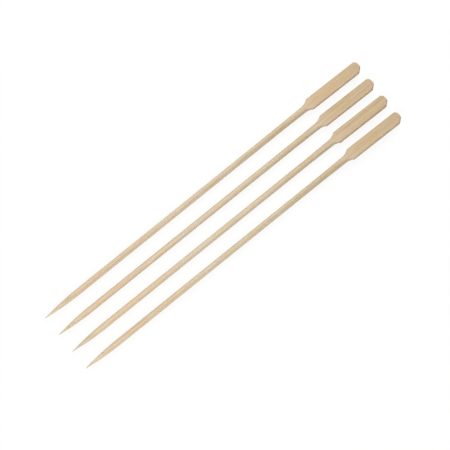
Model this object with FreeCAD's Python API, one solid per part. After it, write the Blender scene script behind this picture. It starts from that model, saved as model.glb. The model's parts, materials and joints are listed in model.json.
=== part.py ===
import FreeCAD, Part

import math
import os

from FreeCAD import Vector

# A set of bamboo kebab skewers, laid side by side with their ends in line.
# Each skewer is one piece of bamboo: a flat sawn strip whose front is turned down to a
# round, pointed shaft, and whose back stays flat as the paddle that the cook holds.
# Lengths are in millimetres. X runs from the tips to the handles, Y across the row, Z up.

# The row
skewer_count = 4
paddle_gap = 6.49

# The sawn strip
skewer_length = 250.0
strip_width = 7.25
strip_thickness = 3.92
edge_easing = 0.25

# The cut corners at the handle's end. Seen from above, left is the +Y side. The end is cut
# a little askew, and the larger cut on its right is worn rounder.
left_cut_length = 2.1
left_cut_width = 1.3
left_rounding = 0.7
end_skew = 0.6
right_cut_length = 3.3
right_cut_width = 3.1
right_rounding = 1.8

# The strip is not quite straight: its paddle is turned aside about a place near the shoulder.
paddle_turn_degrees = 0.75
turn_place_from_end = 28.5

# The turned point and shaft. The shaft is a hair thicker than the strip, so the turning leaves
# a narrow trace of the flat faces along it. The skewer lies on the one below.
shaft_diameter = 3.94
tip_diameter = 0.4
taper_length = 16.0
taper_blend = 10.0

# The run-out, where the cutter lifts off the strip and leaves the scooped shoulders
swell_length = 19.0
swell_rise = 0.25
runout_from_end = 44.3
runout_radius = 8.5

# How far the rough stock and the cutter's path reach past the finished faces
overrun = 1.0

FULL_TURN_DEGREES = 360.0
TOWARDS_HANDLE = Vector(1, 0, 0)
UP = Vector(0, 0, 1)

shaft_radius = shaft_diameter / 2
runout_start = skewer_length - runout_from_end
row_pitch = strip_width + paddle_gap
clear_radius = math.hypot(strip_width / 2, strip_thickness / 2) + overrun


def on_circle(centre, radius, angle):
    """A place on an upright circle; the angle runs from straight down towards the handle."""
    return centre + Vector(math.sin(angle), 0, -math.cos(angle)) * radius


def arc_edge(centre, radius, first_angle, last_angle):
    """A round stretch of the turned outline."""
    middle_angle = (first_angle + last_angle) / 2
    angles = (first_angle, middle_angle, last_angle)
    return Part.Arc(*[on_circle(centre, radius, angle) for angle in angles]).toShape()


def first_of(edge):
    return edge.Vertexes[0].Point


def last_of(edge):
    return edge.Vertexes[-1].Point


def point_blend():
    """The long soft arc that leads the straight cone of the point into the shaft."""
    cone_angle = math.atan((shaft_radius - tip_diameter / 2) / taper_length)
    radius = taper_blend / math.tan(cone_angle / 2)
    centre = Vector(taper_length + taper_blend, 0, shaft_radius - radius)
    return arc_edge(centre, radius, math.pi + cone_angle, math.pi)


def runout_scoop():
    """The scoop that the cutter leaves as it lifts off, drawn on from the slope of the swell."""
    swell_angle = math.atan(swell_rise / swell_length)
    lift_place = Vector(runout_start, 0, shaft_radius + swell_rise)
    centre = on_circle(lift_place, runout_radius, swell_angle + math.pi)
    lifted_angle = math.acos((centre.z - clear_radius) / runout_radius)
    return arc_edge(centre, runout_radius, swell_angle, lifted_angle)


def turned_form():
    """All that the cutter leaves: point, shaft and run-out, spun about the long axis."""
    blend = point_blend()
    scoop = runout_scoop()
    tip = Vector(0, 0, 0)
    tip_edge = Vector(0, 0, tip_diameter / 2)
    swell_start = Vector(runout_start - swell_length, 0, shaft_radius)
    back = Vector(skewer_length + overrun, 0, 0)
    back_edge = back + UP * clear_radius

    point_lines = Part.makePolygon([tip, tip_edge, first_of(blend)]).Edges
    shaft_lines = Part.makePolygon([last_of(blend), swell_start, first_of(scoop)]).Edges
    back_lines = Part.makePolygon([last_of(scoop), back_edge, back, tip]).Edges
    outline = Part.Wire(point_lines + [blend] + shaft_lines + [scoop] + back_lines)
    return Part.Face(outline).revolve(tip, TOWARDS_HANDLE, FULL_TURN_DEGREES)


def on_paddle(from_end, across):
    """A place on the paddle, which has turned aside with the bend of the strip."""
    turn_place = Vector(skewer_length - turn_place_from_end, 0, 0)
    unturned = Vector(skewer_length - from_end, across, 0)
    turn = FreeCAD.Rotation(UP, -paddle_turn_degrees)
    return turn_place + turn.multVec(unturned - turn_place)


def rounded_corner(before, corner, after, radius):
    """The arc that rounds a corner of a flat outline."""
    to_before = (before - corner).normalize()
    to_after = (after - corner).normalize()
    half_angle = to_before.getAngle(to_after) / 2
    setback = radius / math.tan(half_angle)
    inwards = (to_before + to_after).normalize()
    middle = corner + inwards * (radius / math.sin(half_angle) - radius)
    return Part.Arc(corner + to_before * setback, middle, corner + to_after * setback).toShape()


def paddle_outline():
    """The paddle from above: a strip with its two end corners cut off and softened."""
    left = strip_width / 2
    right = -strip_width / 2
    front_right = on_paddle(runout_from_end + overrun, right)
    front_left = on_paddle(runout_from_end + overrun, left)
    end_corners = [on_paddle(right_cut_length, right),
                   on_paddle(0, right + right_cut_width),
                   on_paddle(end_skew, left - left_cut_width),
                   on_paddle(left_cut_length, left)]
    roundings = [right_rounding, right_rounding, left_rounding, left_rounding]

    around = [front_right] + end_corners + [front_left]
    arcs = [rounded_corner(*corner)
            for corner in zip(around, end_corners, around[2:], roundings)]
    edges = [Part.makeLine(front_right, first_of(arcs[0]))]
    for arc, following in zip(arcs, arcs[1:]):
        edges += [arc, Part.makeLine(last_of(arc), first_of(following))]
    edges += [arcs[-1], Part.makeLine(last_of(arcs[-1]), front_left)]
    edges.append(Part.makeLine(front_left, front_right))
    return Part.Wire(edges)


def paddle_stock():
    """The strip at the paddle, with its sharp sawn edges eased all round but at the front."""
    floor = Part.Face(paddle_outline())
    floor.translate(UP * (-strip_thickness / 2))
    stock = floor.extrude(UP * strip_thickness)
    eased = [edge for edge in stock.Edges
             if abs(edge.CenterOfMass.z) > strip_thickness / 2 - edge_easing
             and edge.CenterOfMass.x > runout_start]
    return stock.makeFillet(edge_easing, eased)


def shaft_stock():
    """The strip ahead of the paddle. The turning removes its sides, so they are left rough."""
    corner = Vector(-overrun, -clear_radius, -strip_thickness / 2)
    return Part.makeBox(runout_start + overrun, 2 * clear_radius, strip_thickness, corner)


def skewer():
    """One skewer, its shaft's axis on the X axis and its tip at the origin."""
    stock = shaft_stock().fuse(paddle_stock())
    return turned_form().common(stock).removeSplitter().Solids[0]


def main():
    os.makedirs("parts", exist_ok=True)
    pattern = skewer()
    box = pattern.optimalBoundingBox(False, False)
    for place in range(skewer_count):
        across = ((skewer_count - 1) / 2 - place) * row_pitch
        piece = pattern.copy()
        piece.translate(Vector(-box.Center.x, across - box.Center.y, -box.ZMin))
        name = "skewer_" + str(place + 1)
        piece.exportStep(os.path.join("parts", name + ".step"))
        print(name, "volume", round(piece.Volume, 1), "shaft axis at y",
              round(across - box.Center.y, 4), "z", round(-box.ZMin, 4))
    print("tip at x", round(-box.Center.x, 4), "box", box)


main()
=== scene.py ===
# %% [markdown]
# # Kebab skewers of bamboo
#
# Four skewers of the flat-handled kind lie side by side with their ends in line. Each one is
# a single strip of bamboo. Its front is turned down to a round shaft with a ground point, and
# its back stays flat as the paddle that the cook holds.
#
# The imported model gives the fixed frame. Its solids are made for construction and collision,
# so their round shafts have few sides. This lesson makes each skewer again with finer faces,
# at the same place and of the same size, and gives it the grain of bamboo.

import json
import math

import bmesh
import bpy
from mathutils import Matrix, Vector


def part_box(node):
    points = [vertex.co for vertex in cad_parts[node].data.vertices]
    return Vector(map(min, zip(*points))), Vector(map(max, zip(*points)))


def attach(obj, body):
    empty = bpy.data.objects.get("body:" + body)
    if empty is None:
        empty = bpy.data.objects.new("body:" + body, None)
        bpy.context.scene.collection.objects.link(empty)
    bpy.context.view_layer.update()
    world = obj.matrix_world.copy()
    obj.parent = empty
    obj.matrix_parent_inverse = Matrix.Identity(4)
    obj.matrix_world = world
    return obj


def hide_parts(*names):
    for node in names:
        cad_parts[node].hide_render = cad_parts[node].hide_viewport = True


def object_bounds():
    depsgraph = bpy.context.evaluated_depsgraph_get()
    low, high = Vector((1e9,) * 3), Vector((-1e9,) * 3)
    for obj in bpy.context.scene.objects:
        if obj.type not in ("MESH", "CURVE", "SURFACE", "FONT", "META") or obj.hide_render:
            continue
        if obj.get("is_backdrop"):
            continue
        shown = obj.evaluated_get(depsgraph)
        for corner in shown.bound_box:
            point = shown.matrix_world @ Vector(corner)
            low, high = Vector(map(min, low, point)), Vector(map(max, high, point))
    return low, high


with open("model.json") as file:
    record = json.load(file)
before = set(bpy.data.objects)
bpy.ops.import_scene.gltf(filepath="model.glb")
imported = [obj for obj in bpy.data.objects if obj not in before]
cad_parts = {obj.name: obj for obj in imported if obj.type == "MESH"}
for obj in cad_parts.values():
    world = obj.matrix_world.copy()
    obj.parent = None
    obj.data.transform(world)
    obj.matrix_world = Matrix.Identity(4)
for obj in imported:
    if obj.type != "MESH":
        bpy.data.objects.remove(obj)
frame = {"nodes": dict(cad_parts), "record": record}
cad_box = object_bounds()
MM = 0.001
print("skewers in the frame:", sorted(frame["nodes"]))
print("box of the set in mm:", [round(side / MM, 2) for side in cad_box[1] - cad_box[0]])

# %% [markdown]
# ## The sizes of one skewer
#
# All sizes of the model come from one list, as on a maker's drawing. They are the sizes of the
# construction, in millimetres times MM, because Blender works in metres. The tip is the zero
# of the lengths, and the axis of the shaft is the zero of the widths and heights.

# %% The maker's list
skewer_length = 250.0 * MM
strip_width = 7.25 * MM
strip_thickness = 3.92 * MM
edge_easing = 0.25 * MM

left_cut_length = 2.1 * MM
left_cut_width = 1.3 * MM
left_rounding = 0.7 * MM
end_skew = 0.6 * MM
right_cut_length = 3.3 * MM
right_cut_width = 3.1 * MM
right_rounding = 1.8 * MM

paddle_turn = math.radians(0.75)
turn_place_from_end = 28.5 * MM

shaft_radius = 1.97 * MM
tip_radius = 0.2 * MM
taper_length = 16.0 * MM
taper_blend = 10.0 * MM
swell_length = 19.0 * MM
swell_rise = 0.25 * MM
runout_from_end = 44.3 * MM
runout_radius = 8.5 * MM
overrun = 1.0 * MM

runout_start = skewer_length - runout_from_end
clear_radius = math.hypot(strip_width / 2, strip_thickness / 2) + overrun
print("the run-out starts", round(runout_start / MM, 1), "mm from the tip")

# %% [markdown]
# ## The turned form
#
# The rounding cutter leaves a surface of revolution: the point, the shaft, a slight swelling,
# and the scoop where the cutter lifts off the strip. Such a form could be sculpted or lofted,
# but it is exactly what the Spin operator makes, so half of its outline is drawn as a chain of
# points and spun once round the axis. The two arcs of the outline are themselves small spins
# of one point, and each starts in line with the stretch before it.

# %% Helpers that draw a line and an arc
ABOUT_Y = (0.0, 1.0, 0.0)


def points_in(geometry):
    """The points among the points, edges and faces that an operator gives back."""
    return [item for item in geometry if isinstance(item, bmesh.types.BMVert)]


def draw_on(form, last_point, along, radius):
    """Draws the outline on to a new point, and gives that point back."""
    made = bmesh.ops.extrude_vert_indiv(form, verts=[last_point])
    new_point = made["verts"][0]
    new_point.co = Vector((along, 0.0, radius))
    return new_point


def draw_arc(form, last_point, centre, angle, steps):
    """Carries the outline round an arc, and gives the arc's last point back."""
    made = bmesh.ops.spin(form, geom=[last_point], cent=centre, axis=ABOUT_Y,
                          angle=angle, steps=steps)
    return points_in(made["geom_last"])[0]


# %% Draw the outline
shaft_stretches = 8
arc_steps = 14
scoop_steps = 36


def draw_point(form):
    """The ground point: a blunt tip, a straight cone, and a long arc into the shaft."""
    cone_angle = math.atan((shaft_radius - tip_radius) / taper_length)
    blend_radius = taper_blend / math.tan(cone_angle / 2)
    centre = Vector((taper_length + taper_blend, 0.0, shaft_radius - blend_radius))
    tip = form.verts.new((0.0, 0.0, tip_radius))
    cone_end = draw_on(form, tip, centre.x - blend_radius * math.sin(cone_angle),
                       centre.z + blend_radius * math.cos(cone_angle))
    return draw_arc(form, cone_end, centre, cone_angle, arc_steps)


def draw_shaft(form, last_point):
    """The long shaft in even stretches, and the slight swelling that ends it."""
    swell_start = runout_start - swell_length
    stretch = (swell_start - last_point.co.x) / shaft_stretches
    for _ in range(shaft_stretches):
        last_point = draw_on(form, last_point, last_point.co.x + stretch, shaft_radius)
    return draw_on(form, last_point, runout_start, shaft_radius + swell_rise)


def draw_scoop(form, last_point):
    """The scoop of the lifting cutter, and a rim behind it that lies outside the strip."""
    swell_angle = math.atan(swell_rise / swell_length)
    off_the_swelling = Vector((-math.sin(swell_angle), 0.0, math.cos(swell_angle)))
    centre = last_point.co + off_the_swelling * runout_radius
    lifted_angle = math.acos((centre.z - clear_radius) / runout_radius)
    rim = draw_arc(form, last_point, centre, swell_angle - lifted_angle, scoop_steps)
    return draw_on(form, rim, skewer_length + overrun, clear_radius)


turned = bmesh.new()
draw_scoop(turned, draw_shaft(turned, draw_point(turned)))
print("outline:", len(turned.verts), "points")

# %% Spin the outline
ABOUT_X = (1.0, 0.0, 0.0)
FULL_TURN = 2 * math.pi
sides_round = 96
merge_distance = 0.0001 * MM

bmesh.ops.spin(turned, geom=turned.verts[:] + turned.edges[:], cent=(0.0, 0.0, 0.0),
               axis=ABOUT_X, angle=FULL_TURN, steps=sides_round, use_merge=True)
bmesh.ops.remove_doubles(turned, verts=turned.verts[:], dist=merge_distance)
bmesh.ops.holes_fill(turned, edges=turned.edges[:], sides=0)
bmesh.ops.recalc_face_normals(turned, faces=turned.faces[:])
print("turned form:", len(turned.faces), "faces, volume",
      round(turned.calc_volume() / MM ** 3, 1), "cubic mm")

# %% [markdown]
# ## The sawn strip
#
# The blank is a flat strip with its two end corners cut off, the right one deeper and worn
# rounder. The strip is not quite straight, so its paddle is turned aside by less than a
# degree. A cube could be cut down to it, but the outline from above says it all: it is drawn
# with ten points and extruded to the thickness. Bevel then rounds its corners and eases its
# long edges. Ahead of the paddle the blank is left wider than the shaft, because the turning
# removes it.

# %% Draw and extrude the blank
paddle_front_from_end = runout_from_end + overrun


def on_paddle(from_end, across):
    """A place on the paddle, which has turned aside with the bend of the strip."""
    turn_place = Vector((skewer_length - turn_place_from_end, 0.0, 0.0))
    unturned = Vector((skewer_length - from_end, across, 0.0))
    turn = Matrix.Rotation(-paddle_turn, 3, "Z")
    return turn_place + turn @ (unturned - turn_place)


left = strip_width / 2
right = -strip_width / 2
front_right = on_paddle(paddle_front_from_end, right)
end_corners = [on_paddle(right_cut_length, right),
               on_paddle(0.0, right + right_cut_width),
               on_paddle(end_skew, left - left_cut_width),
               on_paddle(left_cut_length, left)]
front_left = on_paddle(paddle_front_from_end, left)
outline = [Vector((-overrun, -clear_radius, 0.0)),
           Vector((front_right.x, -clear_radius, 0.0)),
           front_right, *end_corners, front_left,
           Vector((front_left.x, clear_radius, 0.0)),
           Vector((-overrun, clear_radius, 0.0))]

blank = bmesh.new()
underside = blank.faces.new([blank.verts.new(place) for place in outline])
bmesh.ops.translate(blank, verts=blank.verts[:], vec=(0.0, 0.0, -strip_thickness / 2))
made = bmesh.ops.extrude_face_region(blank, geom=[underside])
bmesh.ops.translate(blank, verts=points_in(made["geom"]), vec=(0.0, 0.0, strip_thickness))
bmesh.ops.recalc_face_normals(blank, faces=blank.faces[:])
print("blank with sharp edges:", len(blank.faces), "faces,", len(blank.verts), "points")

# %% Round its corners and ease its edges
PLACE_TOLERANCE = 0.001 * MM
roundings = [right_rounding, right_rounding, left_rounding, left_rounding]
rounding_segments = 6
easing_segments = 4


def soften(form, edges, setback, segments):
    """Bevels edges to a round. The operator's own defaults differ from the editor's."""
    bmesh.ops.bevel(form, geom=edges, offset=setback, offset_type="OFFSET", affect="EDGES",
                    segments=segments, profile=0.5, material=-1)


def stands_at(edge, corner):
    """True for the upright edge at one corner of the outline."""
    return all((Vector((end.co.x, end.co.y, 0.0)) - corner).length < PLACE_TOLERANCE
               for end in edge.verts)


def is_paddle_rim(edge):
    """True for the edges where the paddle's flat faces meet its sides and its end."""
    first, second = (end.co for end in edge.verts)
    level = abs(first.z - second.z) < PLACE_TOLERANCE
    behind = min(first.x, second.x) > front_left.x - PLACE_TOLERANCE
    lengthwise = abs(first.x - second.x) > PLACE_TOLERANCE
    at_end = min(first.x, second.x) > end_corners[0].x
    return level and behind and (lengthwise or at_end)


for corner, radius in zip(end_corners, roundings):
    upright = [edge for edge in blank.edges if stands_at(edge, corner)]
    setback = radius * math.tan(upright[0].calc_face_angle() / 2)
    soften(blank, upright, setback, rounding_segments)
paddle_rim = [edge for edge in blank.edges if is_paddle_rim(edge)]
soften(blank, paddle_rim, edge_easing, easing_segments)
print("blank:", len(blank.faces), "faces,", len(blank.verts), "points")

# %% [markdown]
# ## One skewer: what the cutter leaves of the strip
#
# The skewer is what the turned form and the strip share. The curved rim of the paddle and its
# scooped shoulders come from this by themselves, as they do in the factory. The shaft is a hair
# thicker than the strip, so a narrow trace of the flat faces is left along it too. The turned
# form could be cut with one plane per face of the strip, but a Boolean with the exact solver
# also keeps the strip's eased edges and rounded corners. Its result goes back into a bmesh to
# be cleaned. Edges that fold by more than 24 degrees stay crisp, and the rest is shaded smooth.

# %% Helpers for meshes and objects


def new_mesh(name, form):
    """Turns a bmesh into a mesh."""
    mesh = bpy.data.meshes.new(name)
    form.to_mesh(mesh)
    form.free()
    return mesh


def new_object(name, data):
    """Makes an object of a mesh, a camera or a lamp, and puts it into the scene."""
    made = bpy.data.objects.new(name, data)
    bpy.context.scene.collection.objects.link(made)
    return made


# %% Intersect the two
kept = new_object("turned_form", new_mesh("turned_form", turned))
cutter = new_object("sawn_blank", new_mesh("sawn_blank", blank))
cut = kept.modifiers.new("shared", "BOOLEAN")
cut.operation = "INTERSECT"
cut.solver = "EXACT"
cut.object = cutter
result = kept.evaluated_get(bpy.context.evaluated_depsgraph_get())
pattern = bpy.data.meshes.new_from_object(result)
for holder in (kept, cutter):
    bpy.data.objects.remove(holder)
print("shared form:", len(pattern.polygons), "faces")

# %% Clean the pattern
crisp_angle = math.radians(24)

form = bmesh.new()
form.from_mesh(pattern)
bmesh.ops.remove_doubles(form, verts=form.verts[:], dist=merge_distance)
bmesh.ops.recalc_face_normals(form, faces=form.faces[:])
for face in form.faces:
    face.smooth = True
for edge in form.edges:
    edge.smooth = edge.calc_face_angle(0.0) < crisp_angle
open_edges = sum(len(edge.link_faces) != 2 for edge in form.edges)
print("pattern:", len(form.faces), "faces,", open_edges, "open edges, volume",
      round(form.calc_volume() / MM ** 3, 1), "cubic mm")
form.to_mesh(pattern)
form.free()

# %% [markdown]
# ## Four skewers in a row
#
# The row is the same skewer four times. Each copy gets its place in its mesh, and its object
# stays at the origin, so that it lies exactly where the solid of the frame lies. The frame's
# record holds the place of each shaft, and the box of each solid gives the tip. A Weighted
# Normal modifier keeps the broad flat faces flat up to their eased edges.

# %% Place the copies
skewer_names = sorted(frame["nodes"])
shaft_places = {mount["name"]: Vector(mount["pos_m"]) for mount in frame["record"]["mounts"]}


def tip_place(name):
    """The tip of one skewer in the frame."""
    shaft = shaft_places[name + "_shaft"]
    return Vector((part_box(name)[0].x, shaft.y, shaft.z))


def place_skewer(name):
    mesh = pattern.copy()
    mesh.transform(Matrix.Translation(tip_place(name)))
    piece = new_object(name + "_bamboo", mesh)
    flatness = piece.modifiers.new("flat_faces", "WEIGHTED_NORMAL")
    flatness.keep_sharp = True
    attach(piece, "root")
    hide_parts(name)
    return piece


skewers = {name: place_skewer(name) for name in skewer_names}
for name in skewer_names:
    print(name, "tip at", [round(value / MM, 2) for value in tip_place(name)], "mm")

# %% [markdown]
# ## The grain of bamboo
#
# Bamboo has no rings. Seen from the end, it is pale ground tissue with darker dots, the
# bundles, which stand closer together towards the skin of the cane. Each bundle runs straight
# through the strip, so on the long faces it shows as a streak, and where the cutter lifts off,
# the streaks are cut to long ovals. A picture could only show one of these faces. A solid
# pattern shows all of them: a Voronoi pattern across the strip, which is drawn out along it.
# A slow noise lets the bundles wander a little, as they do round a joint of the cane. The
# groups read places in millimetres, so the sizes in them are plain millimetres too.

# %% Helpers for node trees
FLOAT = "NodeSocketFloat"
VECTOR = "NodeSocketVector"
COLOUR = "NodeSocketColor"


def add_node(tree, kind, inputs=None, **settings):
    """Adds a node, sets its properties, and sets or links its inputs by name or number."""
    node = tree.nodes.new(kind)
    for name, value in settings.items():
        setattr(node, name, value)
    for name, value in (inputs or {}).items():
        if isinstance(value, bpy.types.NodeSocket):
            tree.links.new(value, node.inputs[name])
        else:
            node.inputs[name].default_value = value
    return node


def new_group(name, inputs, outputs):
    """Starts a node group. Inputs are name: (socket type, value); outputs are name: type."""
    tree = bpy.data.node_groups.new(name, "ShaderNodeTree")
    for socket_name, (kind, value) in inputs.items():
        socket = tree.interface.new_socket(socket_name, in_out="INPUT", socket_type=kind)
        if value is not None:
            socket.default_value = value
    for socket_name, kind in outputs.items():
        tree.interface.new_socket(socket_name, in_out="OUTPUT", socket_type=kind)
    entry = tree.nodes.new("NodeGroupInput")
    way_out = tree.nodes.new("NodeGroupOutput")
    return tree, entry.outputs, way_out.inputs


def use_group(tree, group, inputs):
    """Places a group in a material with that material's own values."""
    return add_node(tree, "ShaderNodeGroup", inputs, node_tree=group).outputs


# %% Helpers for arithmetic


def calculate(tree, operation, value, other=0.0):
    """One step of arithmetic on numbers or sockets."""
    return add_node(tree, "ShaderNodeMath", {0: value, 1: other}, operation=operation).outputs[0]


def times(tree, value, factor):
    return calculate(tree, "MULTIPLY", value, factor)


def plus(tree, value, other):
    return calculate(tree, "ADD", value, other)


def calculate_vector(tree, operation, vector, inputs):
    """One step of arithmetic on a vector, with the node's other inputs by name or number."""
    node = add_node(tree, "ShaderNodeVectorMath", {0: vector, **inputs}, operation=operation)
    return node.outputs["Vector"]


def split_up(tree, place):
    """The three parts of a place, as sockets named X, Y and Z."""
    return add_node(tree, "ShaderNodeSeparateXYZ", {0: place}).outputs


# %% Helpers for soft steps and noise


def soft_step(tree, value, low, high, to_low=0.0, to_high=1.0):
    """A smooth step: to_low where the value is at low, to_high where it is at high."""
    node = add_node(tree, "ShaderNodeMapRange",
                    {"Value": value, "From Min": low, "From Max": high,
                     "To Min": to_low, "To Max": to_high}, interpolation_type="SMOOTHSTEP")
    return node.outputs["Result"]


def stretched_noise(tree, place, along, across, detail, roughness=0.5):
    """Noise whose spots are so many millimetres long and wide, as a value and a colour."""
    stretched = calculate_vector(tree, "MULTIPLY", place, {1: (1 / along, 1 / across, 1 / across)})
    noise = add_node(tree, "ShaderNodeTexNoise",
                     {"Vector": stretched, "Scale": 1.0, "Detail": detail,
                      "Roughness": roughness}, noise_dimensions="3D")
    return noise.outputs


# %% The section of the cane
MIDDLE_OF_NOISE = (0.5, 0.5, 0.5)
wander_along = 55.0
wander_across = 7.0
skin_crowding = 0.07


def cane_section(tree, place, wander):
    """Where a place lies in the cross section of the cane, with a slow wander along it."""
    slow = stretched_noise(tree, place, wander_along, wander_across, detail=1.0)
    centred = calculate_vector(tree, "SUBTRACT", slow["Color"], {1: MIDDLE_OF_NOISE})
    shift = calculate_vector(tree, "SCALE", centred, {"Scale": wander})
    moved = split_up(tree, calculate_vector(tree, "ADD", place, {1: shift}))
    height = moved["Z"]
    crowded = plus(tree, height, times(tree, times(tree, height, height), skin_crowding))
    section = add_node(tree, "ShaderNodeCombineXYZ", {"X": moved["Y"], "Y": crowded})
    return section.outputs["Vector"]


# %% The bundles
bundle_spacing = 0.78
bundle_wander = 0.7
unevenness = 0.75
bundle_rim = 0.50
bundle_core = 0.22
vessel_rim = 0.17
vessel_core = 0.07
dash_along = 11.0
dash_across = 0.7
dash_closed = 0.47
dash_open = 0.60


def bundle_group():
    """Masks of the bundles and of the open vessels in them, from a place in millimetres."""
    tree, given, result = new_group(
        "bamboo_bundles",
        {"Place": (VECTOR, None), "Spacing": (FLOAT, bundle_spacing),
         "Wander": (FLOAT, bundle_wander)},
        {"Bundle": FLOAT, "Vessel": FLOAT, "Shade": FLOAT})
    section = cane_section(tree, given["Place"], given["Wander"])
    per_mm = calculate(tree, "DIVIDE", 1.0, given["Spacing"])
    cells = add_node(tree, "ShaderNodeTexVoronoi",
                     {"Vector": section, "Scale": per_mm, "Randomness": unevenness},
                     voronoi_dimensions="2D", feature="F1")
    from_middle = cells.outputs["Distance"]
    tree.links.new(soft_step(tree, from_middle, bundle_rim, bundle_core), result["Bundle"])
    vessel = soft_step(tree, from_middle, vessel_rim, vessel_core)
    dashes = stretched_noise(tree, given["Place"], dash_along, dash_across, detail=1.0)
    open_here = soft_step(tree, dashes["Fac"], dash_closed, dash_open)
    tree.links.new(times(tree, vessel, open_here), result["Vessel"])
    shade = add_node(tree, "ShaderNodeSeparateColor", {0: cells.outputs["Color"]})
    tree.links.new(shade.outputs["Red"], result["Shade"])
    return tree


bundles = bundle_group()
print("group", bundles.name, "puts out", [item.name for item in bundles.interface.items_tree
                                          if item.in_out == "OUTPUT"])

# %% [markdown]
# ## Fine fibres, saw marks and handled edges
#
# Between the bundles the tissue is streaked with fibres, a third of a millimetre wide and
# less. The flat faces still carry faint marks of the saw and the planer across the strip,
# while the turned shaft has none. The edges of the paddle are a little darker and rougher,
# because there the fibres are cut short and hands rub them. These three could be painted by
# hand. As groups that read the place on the skewer they reach every face, and each skewer can
# use them with its own values.

# %% The fibres and the saw marks
fibre_along = 6.0
fibre_across = 0.30
mark_along = 0.42
mark_across = 9.0
face_depth = 0.02
half_width_mm = strip_width / 2 / MM
half_thickness_mm = strip_thickness / 2 / MM


def fibre_group():
    """Fine fibres, as one value round a half."""
    tree, given, result = new_group("bamboo_fibres", {"Place": (VECTOR, None)}, {"Fibre": FLOAT})
    fine = stretched_noise(tree, given["Place"], fibre_along, fibre_across,
                           detail=3.0, roughness=0.6)
    tree.links.new(fine["Fac"], result["Fibre"])
    return tree


def saw_mark_group():
    """Faint marks across the strip on its flat top and underside only."""
    tree, given, result = new_group("saw_marks", {"Place": (VECTOR, None)}, {"Mark": FLOAT})
    depth = calculate(tree, "ABSOLUTE", split_up(tree, given["Place"])["Z"])
    on_face = soft_step(tree, depth, half_thickness_mm - face_depth, half_thickness_mm)
    marks = stretched_noise(tree, given["Place"], mark_along, mark_across, detail=2.0)
    tree.links.new(times(tree, marks["Fac"], on_face), result["Mark"])
    return tree


fibres = fibre_group()
saw_marks = saw_mark_group()
print("groups:", [group.name for group in (fibres, saw_marks)])

# %% The handled edges
edge_reach = 0.5
fully_rubbed_share = 0.2
rub_along = 5.0
rub_across = 0.8
rub_starts = 0.35
rub_full = 0.65


def edge_group():
    """A mask of the paddle's long edges, broken up by noise, from a place on the paddle."""
    tree, given, result = new_group(
        "handled_edges", {"Place": (VECTOR, None), "Reach": (FLOAT, edge_reach)}, {"Edge": FLOAT})
    place = split_up(tree, given["Place"])
    across = calculate(tree, "ABSOLUTE", place["Y"])
    depth = calculate(tree, "ABSOLUTE", place["Z"])
    from_side = calculate(tree, "SUBTRACT", half_width_mm, across)
    from_face = calculate(tree, "SUBTRACT", half_thickness_mm, depth)
    from_edge = calculate(tree, "MAXIMUM", from_side, from_face)
    ratio = calculate(tree, "DIVIDE", from_edge, given["Reach"])
    near = soft_step(tree, ratio, 1.0, fully_rubbed_share)
    rubs = stretched_noise(tree, given["Place"], rub_along, rub_across, detail=2.0)
    worn = soft_step(tree, rubs["Fac"], rub_starts, rub_full)
    tree.links.new(times(tree, near, worn), result["Edge"])
    return tree


handled_edges = edge_group()
print("group", handled_edges.name, "reaches", edge_reach, "mm in from an edge")

# %% [markdown]
# ## The bamboo of each skewer
#
# Every skewer is cut from another place in the cane, so each gets its own material: the same
# groups, read from another part of the pattern. A Mapping node puts the zero of the pattern at
# that skewer's own tip and axis, in millimetres. A colour ramp along the skewer gives the tissue
# its tone: palest at the points, darker along the shaft and more golden on the paddle. That fall
# is partly the bamboo's own tone and partly painted shade for the light that weakens from the
# points to the handles, and the darker band just ahead of the shoulders is painted shade. All
# else tints that tone by multiplying it: rosy and straw-coloured patches, the bundles, the open
# vessels, the fibres and the rubbed edges. The finish is matt, with a faint satin on the dense
# bundles.

# %% The tone along the skewer, with painted shade
# The stops darken from the points to the handles, partly as painted shade for the light that
# weakens along the row. The dip at 188 mm is painted shade just ahead of the shoulders.
TONES_WITH_PAINTED_SHADE = [(0.0, (0.841, 0.692, 0.515, 1.0)), (45.0, (0.829, 0.655, 0.457, 1.0)),
                (100.0, (0.803, 0.677, 0.512, 1.0)), (150.0, (0.766, 0.644, 0.468, 1.0)),
                (188.0, (0.685, 0.562, 0.379, 1.0)), (205.0, (0.705, 0.578, 0.406, 1.0)),
                (216.0, (0.672, 0.513, 0.328, 1.0)), (250.0, (0.608, 0.458, 0.284, 1.0))]


def tone_and_shade_group():
    """The colour of the ground tissue by the distance from the tip, with painted shade in it."""
    tree, given, result = new_group("tone_with_painted_shade", {"Place": (VECTOR, None)}, {"Tone": COLOUR})
    share = times(tree, split_up(tree, given["Place"])["X"], MM / skewer_length)
    ramp = add_node(tree, "ShaderNodeValToRGB", {"Fac": share})
    stops = ramp.color_ramp.elements
    while len(stops) < len(TONES_WITH_PAINTED_SHADE):
        stops.new(1.0)
    for stop, (from_tip, tone) in zip(stops, TONES_WITH_PAINTED_SHADE):
        stop.position = from_tip * MM / skewer_length
        stop.color = tone
    tree.links.new(ramp.outputs["Color"], result["Tone"])
    return tree


tone_with_painted_shade = tone_and_shade_group()
print("group", tone_with_painted_shade.name, "has", len(TONES_WITH_PAINTED_SHADE), "stops")

# %% Tints, and a helper that lays them on
BUNDLE = (0.800, 0.740, 0.670, 1.0)
VESSEL = (0.480, 0.400, 0.330, 1.0)
ROSY = (1.040, 0.970, 0.985, 1.0)
STRAW = (0.990, 0.992, 0.858, 1.0)
RUBBED = (0.800, 0.785, 0.790, 1.0)

# A Mix node has sockets for numbers and vectors too. These are the places of its factor, its
# two colours and their mix among its sockets.
MIX_FACTOR = 0
MIX_BASE = 6
MIX_TINT = 7
MIX_RESULT = 2


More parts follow.
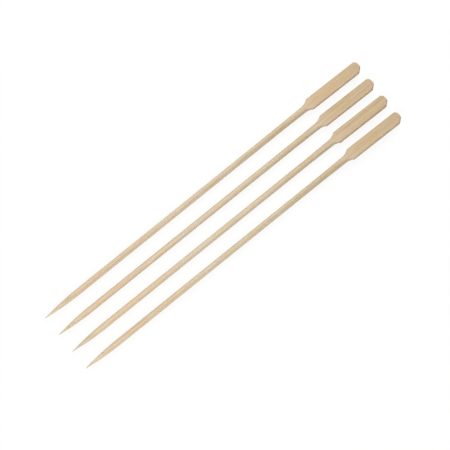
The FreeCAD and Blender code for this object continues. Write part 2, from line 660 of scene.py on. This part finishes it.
def tinted(tree, base, tint, factor):
    """A colour multiplied by a tint, by a factor."""
    inputs = {MIX_FACTOR: factor, MIX_BASE: base, MIX_TINT: tint}
    node = add_node(tree, "ShaderNodeMix", inputs, data_type="RGBA", blend_type="MULTIPLY")
    return node.outputs[MIX_RESULT]


# %% The colour
patch_along = 7.0
patch_across = 2.8
patch_starts = 0.45
patch_full = 0.65
bundle_strength = 0.70
faintest_bundle = 0.15
darkest_bundle = 1.2
vessel_strength = 0.60
fibre_low = 0.25
fibre_high = 0.75
darkest_fibre = 0.90
palest_fibre = 1.07


def bamboo_colour(tree, place, in_cane, grain, fibre, edge):
    """The tone along the skewer with its painted shade, tinted by patches, bundles, vessels,
    fibres and edges.
    """
    patches = stretched_noise(tree, in_cane, patch_along, patch_across, detail=1.0)
    patch = add_node(tree, "ShaderNodeSeparateColor", {0: patches["Color"]}).outputs
    rosy = soft_step(tree, patch["Red"], patch_starts, patch_full)
    straw = soft_step(tree, patch["Green"], patch_starts, patch_full)
    shade = soft_step(tree, grain["Shade"], 0.0, 1.0, faintest_bundle, darkest_bundle)
    bundle = times(tree, times(tree, grain["Bundle"], shade), bundle_strength)
    vessel = times(tree, grain["Vessel"], vessel_strength)
    streak = soft_step(tree, fibre, fibre_low, fibre_high, darkest_fibre, palest_fibre)
    streak_tint = add_node(tree, "ShaderNodeCombineColor", {0: streak, 1: streak, 2: streak})

    # The tone brings its painted shade along the skewer.
    colour = use_group(tree, tone_with_painted_shade, {"Place": place})["Tone"]
    for tint, factor in ((ROSY, rosy), (STRAW, straw), (BUNDLE, bundle), (VESSEL, vessel),
                         (streak_tint.outputs[0], 1.0), (RUBBED, edge)):
        colour = tinted(tree, colour, tint, factor)
    return colour


print("tissue tone under the strongest bundle:",
      [round(1 - bundle_strength * darkest_bundle * (1 - part), 2) for part in BUNDLE[:3]])

# %% The roughness and the relief
smooth_fibre = 0.2
rough_fibre = 0.8
least_roughness = 0.58
most_roughness = 0.70
bundle_satin = -0.07
edge_roughness = 0.08

bundle_height = 0.35
fibre_height = 0.55
vessel_height = -0.7
mark_height = 0.35
bump_depth = 0.06 * MM
bump_strength = 0.8


def bamboo_roughness(tree, grain, fibre, edge):
    """Matt tissue, a faint satin on the bundles, and rougher edges."""
    roughness = soft_step(tree, fibre, smooth_fibre, rough_fibre, least_roughness, most_roughness)
    roughness = plus(tree, roughness, times(tree, grain["Bundle"], bundle_satin))
    return plus(tree, roughness, times(tree, edge, edge_roughness))


def bamboo_normal(tree, grain, fibre, mark):
    """Raised bundles, fibres and saw marks, and sunken vessels."""
    relief = times(tree, grain["Bundle"], bundle_height)
    for height, weight in ((fibre, fibre_height), (grain["Vessel"], vessel_height),
                           (mark, mark_height)):
        relief = plus(tree, relief, times(tree, height, weight))
    bump = add_node(tree, "ShaderNodeBump", {"Height": relief, "Distance": bump_depth,
                                             "Strength": bump_strength})
    return bump.outputs["Normal"]


print("roughness between", round(least_roughness + bundle_satin, 2),
      "and", round(most_roughness + edge_roughness, 2))

# %% One material for each skewer
cane_offsets = [Vector((0.0, 31.0, 0.0)), Vector((310.0, 57.0, 3.0)),
                Vector((640.0, 83.0, -2.0)), Vector((990.0, 109.0, 1.0))]


def bamboo_material(name, number):
    material = bpy.data.materials.new(name + "_bamboo")
    material.use_nodes = True
    tree = material.node_tree
    shader = tree.nodes["Principled BSDF"]

    coordinates = tree.nodes.new("ShaderNodeTexCoord")
    scale = 1 / MM
    own = add_node(tree, "ShaderNodeMapping",
                   {"Vector": coordinates.outputs["Object"], "Location": -tip_place(name) * scale,
                    "Scale": (scale, scale, scale)}, vector_type="POINT")
    place = own.outputs["Vector"]
    in_cane = calculate_vector(tree, "ADD", place, {1: cane_offsets[number]})

    grain = use_group(tree, bundles, {"Place": in_cane, "Spacing": bundle_spacing,
                                      "Wander": bundle_wander})
    fibre = use_group(tree, fibres, {"Place": in_cane})["Fibre"]
    mark = use_group(tree, saw_marks, {"Place": place})["Mark"]
    edge = use_group(tree, handled_edges, {"Place": place, "Reach": edge_reach})["Edge"]

    finish = {"Base Color": bamboo_colour(tree, place, in_cane, grain, fibre, edge),
              "Roughness": bamboo_roughness(tree, grain, fibre, edge),
              "Normal": bamboo_normal(tree, grain, fibre, mark)}
    for socket_name, value in finish.items():
        tree.links.new(value, shader.inputs[socket_name])
    return material


for number, name in enumerate(skewer_names):
    skewers[name].data.materials.clear()
    skewers[name].data.materials.append(bamboo_material(name, number))
    print(name, "has", skewers[name].data.materials[0].name)

# %% [markdown]
# ## The camera
#
# The photograph looks down on the row from 14 degrees off the vertical, square to the
# skewers, and is turned so that they climb from lower left to upper right. All four are
# equally long in it, so there is no perspective to see. An orthographic camera could stand
# for that. A very long lens from far away looks the same and still works as a real camera
# from other sides.

# %% Set the camera
image_side_px = 450
metres_per_px = 0.6194 * MM
camera_tilt = math.radians(14.0)
camera_roll = math.radians(38.91)
lens_mm = 1000.0
sensor_mm = 36.0
row_middle = Vector((0.0, 0.0879, 1.96)) * MM
middle_right_of_centre_px = -2.55
middle_above_centre_px = 8.39

turned_camera = Matrix.Rotation(camera_tilt, 3, "X") @ Matrix.Rotation(-camera_roll, 3, "Z")
to_right = turned_camera.col[0]
to_top = turned_camera.col[1]
towards_camera = turned_camera.col[2]
distance = metres_per_px * image_side_px * lens_mm / sensor_mm
aim = row_middle - to_right * middle_right_of_centre_px * metres_per_px
aim = aim - to_top * middle_above_centre_px * metres_per_px

camera_data = bpy.data.cameras.new("camera")
camera_data.lens = lens_mm
camera_data.sensor_width = sensor_mm
camera_data.clip_end = 2 * distance
camera = new_object("camera", camera_data)
camera.matrix_world = Matrix.Translation(aim + towards_camera * distance) @ turned_camera.to_4x4()
bpy.context.scene.camera = camera
print("camera at", [round(value, 3) for value in camera.location], "m")

# %% [markdown]
# ## Floor and light
#
# The skewers lie on a plain white sheet between two broad, soft lamps, with even light from
# all round. One lamp stands off past the points, on the right side of the row, and the other
# past the handles, on the left. Each is stronger at its own end, so the points are lit almost
# evenly from both sides, and the shafts are shaded more along their right side towards the
# handles, as in the photograph. The light stays at the level where a colour looks as it is
# written. The sheet would then be pale grey. So it is darker for the camera than for the light
# that bounces from it, and glows by as much as it lacks to white. Its own share of light still
# shows the soft shadows.

# %% The floor
floor_side = 8.0
floor_grey = 0.80
floor_grey_seen = 0.15
floor_glow = 0.865


def seen_directly(tree):
    """One for camera, glossy and transmission rays, and zero for the light that bounces."""
    path = tree.nodes.new("ShaderNodeLightPath").outputs
    camera_or_gloss = calculate(tree, "MAXIMUM", path["Is Camera Ray"], path["Is Glossy Ray"])
    return calculate(tree, "MAXIMUM", camera_or_gloss, path["Is Transmission Ray"])


def white_sheet():
    white = bpy.data.materials.new("white_sheet")
    white.use_nodes = True
    tree = white.node_tree
    tree.nodes.remove(tree.nodes["Principled BSDF"])
    seen = seen_directly(tree)
    grey = add_node(tree, "ShaderNodeMapRange",
                    {"Value": seen, "To Min": floor_grey, "To Max": floor_grey_seen})
    matt = add_node(tree, "ShaderNodeBsdfDiffuse", {"Color": grey.outputs["Result"]})
    glow = add_node(tree, "ShaderNodeEmission", {"Strength": times(tree, seen, floor_glow)})
    both = add_node(tree, "ShaderNodeAddShader", {0: matt.outputs[0], 1: glow.outputs[0]})
    tree.links.new(both.outputs[0], tree.nodes["Material Output"].inputs["Surface"])
    return white


sheet = bmesh.new()
bmesh.ops.create_grid(sheet, x_segments=1, y_segments=1, size=floor_side / 2)
floor = new_object("floor", new_mesh("floor", sheet))
floor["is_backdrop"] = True
floor.data.materials.append(white_sheet())
print("floor", floor_side, "m square")

# %% The two lamps
points_lamp_place = Vector((-0.55, -0.40, 0.45))
points_lamp_watts = 3.5
handles_lamp_place = Vector((0.55, 0.40, 0.45))
handles_lamp_watts = 4.8
lamp_side = 0.50


def soft_lamp(name, lamp_place, watts):
    """A square soft box that faces the middle of the row."""
    lamp_data = bpy.data.lights.new(name, "AREA")
    lamp_data.shape = "SQUARE"
    lamp_data.size = lamp_side
    lamp_data.energy = watts
    lamp = new_object(name, lamp_data)
    lamp.location = lamp_place
    lamp.rotation_euler = lamp_place.to_track_quat("Z", "Y").to_euler()
    lamp.visible_camera = False
    print(name, watts, "W at", [round(value, 2) for value in lamp_place], "m")


soft_lamp("points_lamp", points_lamp_place, points_lamp_watts)
soft_lamp("handles_lamp", handles_lamp_place, handles_lamp_watts)

# %% The light all round
WHITE = (1.0, 1.0, 1.0, 1.0)
all_round_strength = 0.30
white_strength = 1.0

world = bpy.data.worlds.new("studio")
world.use_nodes = True
world_tree = world.node_tree
backdrop = world_tree.nodes["Background"]
backdrop.inputs["Color"].default_value = WHITE
level = add_node(world_tree, "ShaderNodeMapRange",
                 {"Value": seen_directly(world_tree), "To Min": all_round_strength,
                  "To Max": white_strength})
world_tree.links.new(level.outputs["Result"], backdrop.inputs["Strength"])
bpy.context.scene.world = world
bpy.context.scene.view_settings.view_transform = "Standard"
print("light all round:", all_round_strength)

# %% [markdown]
# ## Measure and finish
#
# The box of the finished looks is written beside the box of the solids. The two should agree
# to a small part of a millimetre, because each skewer lies exactly on its solid.

# %% Write the sizes
looks_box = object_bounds()
for corner_name, before, after in zip(("lowest", "highest"), cad_box, looks_box):
    differences = [round((b - a) / MM, 3) for a, b in zip(before, after)]
    print(corner_name, "corner differs by", differences, "mm")
